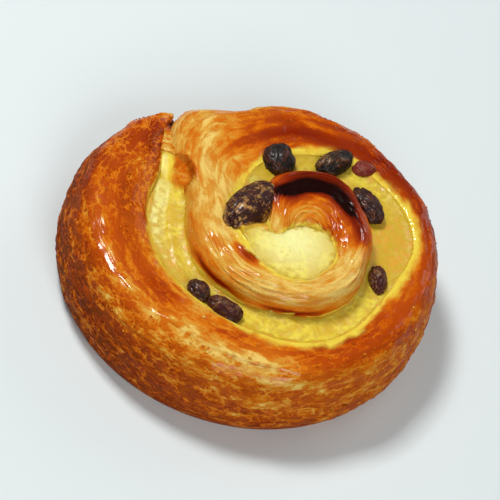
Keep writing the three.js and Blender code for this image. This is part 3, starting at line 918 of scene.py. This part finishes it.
strip_turns = np.arange(CUSTARD_FROM - 4, CUSTARD_TO + 0.1, CUSTARD_TURN_STEP)[:, None]
level = through(CUSTARD_LEVEL, strip_turns)
radius = through(STRIP_RADIUS, strip_turns)
up = np.linspace(CUSTARD_BASE / 20, 1, CUSTARD_SIDE_ROWS)
over = np.linspace(-1, 1, CUSTARD_TOP_ROWS)[1:-1]
side = strip_half(strip_turns, up * level) + CUSTARD_TUCK
top_half = strip_half(strip_turns, level) + CUSTARD_TUCK
into_pool = smooth(*INTO_POOL_BETWEEN, strip_turns)
pool_side = np.minimum(radius - side, POOL_JOIN_DEPTH * pool_radius(strip_turns, up * level))
crown_rise = CROWN_UNEVEN * rough(101, 2, strip_turns / 14, over * 1.5) * (1 - over**2)
creep = MENISCUS * (1 + 0.7 * rough(103, 3, strip_turns / 4, over)) * over**6
strip_points = np.concatenate([
    from_eye(strip_turns, mix(radius - side, pool_side, into_pool), up * level),
    from_eye(strip_turns, radius + over * top_half, level + crown_rise + creep),
    from_eye(strip_turns, (radius + side)[:, ::-1], up[::-1] * level),
], 1)

pool_turns = np.arange(0, LAP, POOL_TURN_STEP)
bowl_level = np.linspace(CUSTARD_BASE, POOL_LEVEL, CUSTARD_SIDE_ROWS)[:, None]
bowl = from_eye(pool_turns, pool_radius(pool_turns, bowl_level) + CUSTARD_TUCK, bowl_level)
lid_share = np.linspace(*LID_SHARES, LID_ROWS)[:, None]
lid_level = POOL_LEVEL + POOL_CROWN * (1 - lid_share**2) + POOL_MENISCUS * lid_share**12
lid_radius = lid_share * (pool_radius(pool_turns, POOL_LEVEL) + CUSTARD_TUCK)
pool_points = np.vstack([bowl, from_eye(pool_turns, lid_radius, lid_level)])

# The strip and the pool are cast as one skin and softened.
corners, faces, _ = as_one_mesh([(strip_points, {}), (pool_points, {})])
two_skins = bpy.data.meshes.new("custard_cast")
two_skins.from_pydata(corners.tolist(), [], faces)
caster = add_object("custard_cast", two_skins)
remesh = caster.modifiers.new("one_skin", "REMESH")
remesh.mode = "VOXEL"
remesh.voxel_size = CUSTARD_VOXEL
soften = caster.modifiers.new("soften", "SMOOTH")
soften.iterations = 6
soften.factor = 0.5
cast = caster.evaluated_get(bpy.context.evaluated_depsgraph_get()).to_mesh()


def at_corners(mesh, field):
    """A field with three numbers for each corner of a mesh, one row a corner."""
    values = np.zeros(len(mesh.vertices) * 3)
    mesh.vertices.foreach_get(field, values)
    return values.reshape(-1, 3)


corners, facing = at_corners(cast, "co"), at_corners(cast, "normal")
faces = [list(face.vertices) for face in cast.polygons]
bpy.data.objects.remove(caster)

# Where each corner lies: its share of the way out of the pool, past whose end it is the strip's,
# and its share of the way across the strip's half.
POOL_ENDS = 1.15

x, y = corners[:, 0], corners[:, 1]
on_top = smooth(0.3, 0.8, facing[:, 2])
eye_distance = np.hypot(x - EYE[0], y - EYE[1])
eye_turn = np.degrees(np.arctan2(y - EYE[1], x - EYE[0])) % LAP
in_pool = eye_distance / pool_radius(eye_turn, POOL_LEVEL)
on_strip = in_pool > POOL_ENDS
lap_turn = np.where(eye_turn < CUSTARD_FROM, eye_turn + LAP, eye_turn)
outward_share = (eye_distance - through(STRIP_RADIUS, lap_turn)) / through(STRIP_HALF, lap_turn)

# Dimples all over, and past the notch a fold along the strip's middle, its inner half higher.
DIMPLE_DEPTH, PORE_DEPTH = 0.28, 0.1
FOLD_TURNS = (156, 166, 188, 212)
FOLD_HEIGHT, CREASE_DEPTH = 0.7, 0.2

dimples = DIMPLE_DEPTH * rough(111, 3, x / 4.5, y / 4.5)
dimples = dimples + PORE_DEPTH * rough(115, 2, x / 1.3, y / 1.3)
fold_line = 0.1 + 0.12 * rough(127, 2, lap_turn / 9, 0 * lap_turn)
folded = window(lap_turn, *FOLD_TURNS) * on_strip
inner_half = 1 - smooth(-0.25, 0.15, outward_share - fold_line)
crease = hump(outward_share, fold_line + 0.1, 0.16)
fold = folded * (FOLD_HEIGHT * inner_half - CREASE_DEPTH * crease)
corners[:, 2] += on_top * (dimples + fold)

# Where it is darker: browned along its edges, painted shade over a stretch at the right, and
# darker over a stretch at the left.
RIGHT_SHADE_STRETCH, RIGHT_PAINTED_SHADE = (390, 36), 0.95
LEFT_STRETCH, LEFT_DARK = (210, 19), 0.65

pool_rim = 0.55 * smooth(0.8, 1.04, in_pool + 0.12 * rough(121, 3, x / 2, y / 2))
strip_rim_and_shade = np.abs(outward_share) + 0.24 * rough(125, 3, x / 2, y / 2)
strip_rim_and_shade = smooth(0.7, 1.05, strip_rim_and_shade)
at_left = 0.2 + LEFT_DARK * hump(lap_turn, *LEFT_STRETCH) * smooth(-0.7, 0.1, outward_share)
# Painted shade over the stretch at the right.
strip_rim_and_shade = np.maximum(strip_rim_and_shade, RIGHT_PAINTED_SHADE * hump(lap_turn, *RIGHT_SHADE_STRETCH))
rim = np.where(on_strip, np.maximum(strip_rim_and_shade, at_left), pool_rim)

# Where it is palest: the middle of the pool, and the strip past the notch, first over the outer
# half of the fold, then in a line near the outer edge.
POOL_PALE_AT, POOL_PALE_WIDTH = (10, -5), 10
PALE_LINE_TURNS = (172, 185, 222, 232)

pale = hump(np.hypot(x - POOL_PALE_AT[0], y - POOL_PALE_AT[1]), 0, POOL_PALE_WIDTH)
pale = pale + folded * (1 - 0.8 * smooth(172, 190, lap_turn)) * (0.7 - inner_half)
pale_line = hump(outward_share + 0.1 * rough(129, 3, x / 2, y / 2), 0.62, 0.22)
pale = np.clip(pale + 0.7 * window(lap_turn, *PALE_LINE_TURNS) * on_strip * pale_line, 0, 1)

LEMON = srgb(228, 208, 66)
PALE_CUSTARD = srgb(240, 240, 166)
DEEP_CUSTARD = srgb(206, 172, 38)
DULL_CUSTARD = srgb(196, 162, 32)
AMBER = srgb(220, 150, 40)

baked_custard, start = new_finish("baked_custard", {
    "IOR": 1.4, "Coat Roughness": 0.16, "Coat IOR": 1.4, "Subsurface Weight": 0.3,
    "Subsurface Radius": (0.005, 0.0035, 0.001), "Subsurface Scale": 1.0,
})
at_rim_and_shade = start.fact("rim")
paleness = start.fact("pale")
clouds = start.place().noise(170, 3, 0.5, 0.6)
specks = start.place().noise(700, 2, 0.5)
colour = clouds.between(0.41, 0.57).blend(DEEP_CUSTARD, LEMON)
colour = colour.towards(PALE_CUSTARD, (paleness + (specks - 0.5) * 0.5) * 0.9)
# Duller and amber where this fact is high: browned along the edges, painted shade over the stretch
# at the right.
deepened = (at_rim_and_shade + (specks - 0.5) * 1.4 + (clouds - 0.5) * 1.6).between(0.05, 0.75)
colour = colour.towards(DULL_CUSTARD, deepened * 0.85)
browned_and_shaded = (at_rim_and_shade + (specks - 0.5) * 2.2 + (clouds - 0.5) * 1.2).between(0.55, 1.5)
colour = colour.towards(AMBER, browned_and_shaded * 0.8)
feed(baked_custard, {
    "Base Color": colour,
    "Roughness": 0.4 + specks * 0.16,
    "Coat Weight": (specks * 0.6 + clouds * 0.4).between(0.42, 0.62) * (0.8 - at_rim_and_shade * 0.7),
    "Normal": (clouds * 0.7 + specks * 0.5).bump(0.6, 0.0008),
})
facts = {"rim": rim, "pale": pale}
custard = make_piece("custard", corners, faces, facts, baked_custard, "custard")
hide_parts("custard_filling")

# The raisins
# Dried grapes pressed into the custard before baking: a dark, tough skin that has shrunk into
# folds along and across the fruit, sticky and glossy with amber light in the thin folds.
# Where the middle of each one is, its half sizes along, across and up, and where its length heads.
RAISINS = [
    {"at": (-3.3, 2, 27.9), "half": (9.8, 5.2, 4.4), "heading": 66},
    {"at": (-1, 22.8, 26), "half": (5.4, 4.5, 3.6), "heading": 100},
    {"at": (13.3, 28.6, 25.8), "half": (6, 3.3, 3), "heading": 55},
    {"at": (21.3, 31.4, 24.6), "half": (3.3, 2.6, 2.1), "heading": 20},
    {"at": (25.3, 18.1, 25.6), "half": (6.2, 3.2, 3), "heading": 138},
    {"at": (33.6, -3.6, 23.6), "half": (4.5, 2.4, 2.4), "heading": 107},
    {"at": (-8.6, -26.2, 22), "half": (3.4, 2.6, 2.2), "heading": -40},
    {"at": (-0.6, -29.3, 22.2), "half": (5, 2.9, 2.6), "heading": -15},
]
# How golden, how red and how deeply folded each one is.
RAISIN_LOOKS = [
    (1.6, 0.15, 0.1), (0.05, 0, 0.13), (0.5, 0, 0.14), (0.4, 1, 0.12), (0.1, 0.1, 0.13),
    (0.5, 0.25, 0.15), (0.3, 0.1, 0.15), (0.5, 0.2, 0.14),
]
RAISIN_ROWS = 80
RAISIN_COLUMNS = 112
RAISIN_PLUMPNESS = 1.05
FOLD_PITCH_ALONG, FOLD_PITCH_ROUND = 0.9, 1.9
FOLD_WARP = 0.6
COARSE_FOLDS, FINE_FOLDS = 0.62, 0.38
SWELL = 0.07


def raisin_skin(number, depth, at, half, heading):
    """An egg shape on three half sizes, drawn in by folds: valleys where a warped noise on the
    unit ball, stretched along the fruit, passes through its middle value."""
    lengthwise = np.linspace(0, np.pi, RAISIN_ROWS + 2)[1:-1, None]
    around = np.linspace(0, 2 * np.pi, RAISIN_COLUMNS, endpoint=False)
    ball = [
        -np.cos(lengthwise) + 0 * around,
        np.sin(lengthwise) * np.cos(around),
        np.sin(lengthwise) * np.sin(around),
    ]
    long = half[0] / half[1]
    pitches = (long * FOLD_PITCH_ALONG, FOLD_PITCH_ROUND, FOLD_PITCH_ROUND)
    a, b, c = (part * pitch for part, pitch in zip(ball, pitches))
    warp = FOLD_WARP * rough(200 + number, 2, a, b, c)
    coarse = 1 - np.abs(rough(230 + number, 1, a + warp, b - warp, c + warp))
    fine = 1 - np.abs(rough(260 + number, 2, a * 1.6 - warp, b * 2.3, c * 2.3 + warp))
    valley = COARSE_FOLDS * smooth(0.55, 1, coarse) + FINE_FOLDS * smooth(0.6, 1, fine)
    swell = SWELL * rough(290 + number, 1, a * 0.8, b * 0.6, c * 0.6)
    size = RAISIN_PLUMPNESS + swell - depth * valley
    angle = np.radians(heading)
    u, v, w = (part * size * h for part, h in zip(ball, half))
    x = at[0] + u * np.cos(angle) - v * np.sin(angle)
    y = at[1] + u * np.sin(angle) + v * np.cos(angle)
    return np.stack([x, y, at[2] + w], -1), valley


FOLD_SHADE = srgb(18, 8, 7)
PRUNE = srgb(66, 30, 16)
AMBER_SKIN = srgb(176, 128, 62)
RED_SKIN = srgb(126, 36, 26)

for number, (raisin, (bloom, redness, depth)) in enumerate(zip(RAISINS, RAISIN_LOOKS), 1):
    skin, start = new_finish(f"raisin_skin_{number}", {
        "IOR": 1.4, "Specular IOR Level": 0.3, "Coat Roughness": 0.2, "Coat IOR": 1.4,
    })
    folds = start.fact("fold")
    patches = start.place().noise(420, 3, 0.6, 0.5)
    pores = start.place().noise(1700, 2, 0.6)
    # Darker in the valleys of the folds: painted shade.
    colour = folds.between(0.02, 0.5).blend(PRUNE, FOLD_SHADE)
    colour = colour.towards(RED_SKIN, 0.8 * redness)
    amber = (patches * 0.6 + pores * 0.4 - folds * 0.12).between(0.42, 0.62)
    colour = colour.towards(AMBER_SKIN, amber * bloom * 0.7)
    feed(skin, {
        "Base Color": colour,
        "Roughness": 0.45 + pores * 0.25,
        "Coat Weight": (patches - 0.3) * 1.6,
        "Normal": (pores * 0.6 + patches * 0.7).bump(0.6, 0.0005),
    })
    points, valley = raisin_skin(number, depth, **raisin)
    fruit_mesh = as_one_mesh([(points, {"fold": valley})])
    fruit = make_piece(f"wrinkled_raisin_{number}", *fruit_mesh, skin, "raisin")
    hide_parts(f"raisin_{number}")

# The table, the light and the view
# A plain pale table under soft studio light, and the camera where it stood over the roll.
# Metres, but for the lens, whose focal length and sensor are millimetres.
TABLE_CORNERS = [(-2, -2, 0), (2, -2, 0), (2, 2, 0), (-2, 2, 0)]
CAMERA_AT = Vector((1.8, -482.6, 543.1)) * MM
LOOKS_AT = Vector((0.0, 0.0, 14.0)) * MM
PICTURE_UP = Vector((-0.3374, 0.7043, 0.6246))
LENS = 197.3
SENSOR_WIDTH = 36

sheet = bpy.data.meshes.new("table")
sheet.from_pydata(TABLE_CORNERS, [], [(0, 1, 2, 3)])
table = add_object("table", sheet)
paint, _ = new_finish("table_paint", {"Base Color": srgb(214, 224, 227), "Roughness": 0.6})
sheet.materials.append(paint)

LIT_AT = Vector((0, 0, 0.02))


def soft_light(name, place, size, watts, colour):
    """A square soft box at a place, turned to face the roll."""
    light = bpy.data.lights.new(name, "AREA")
    light.size = size
    light.energy = watts
    light.color = colour
    box = add_object(name, light)
    box.location = place
    box.rotation_euler = (LIT_AT - Vector(place)).to_track_quat("-Z", "Y").to_euler()


soft_light("key", (-0.4, 0.25, 0.8), 0.22, 6.8, (1.0, 0.98, 0.95))
soft_light("front", (0.3, -0.75, 0.6), 0.45, 4.9, (1.0, 0.98, 0.96))
soft_light("rear", (0.5, 0.7, 0.5), 0.6, 1.8, (1.0, 0.98, 0.96))

world = bpy.data.worlds.new("studio")
world.use_nodes = True
backdrop = world.node_tree.nodes["Background"].inputs
backdrop["Color"].default_value = (1, 1, 1, 1)
backdrop["Strength"].default_value = 0.12
bpy.context.scene.world = world
bpy.context.scene.view_settings.view_transform = "Standard"

lens = bpy.data.cameras.new("camera")
lens.lens = LENS
lens.sensor_width = SENSOR_WIDTH
camera = add_object("camera", lens)
forward = (LOOKS_AT - CAMERA_AT).normalized()
right = forward.cross(PICTURE_UP).normalized()
up_picture = right.cross(forward)
turned = Matrix((right, up_picture, -forward)).transposed().to_4x4()
camera.matrix_world = Matrix.Translation(CAMERA_AT) @ turned
bpy.context.scene.camera = camera
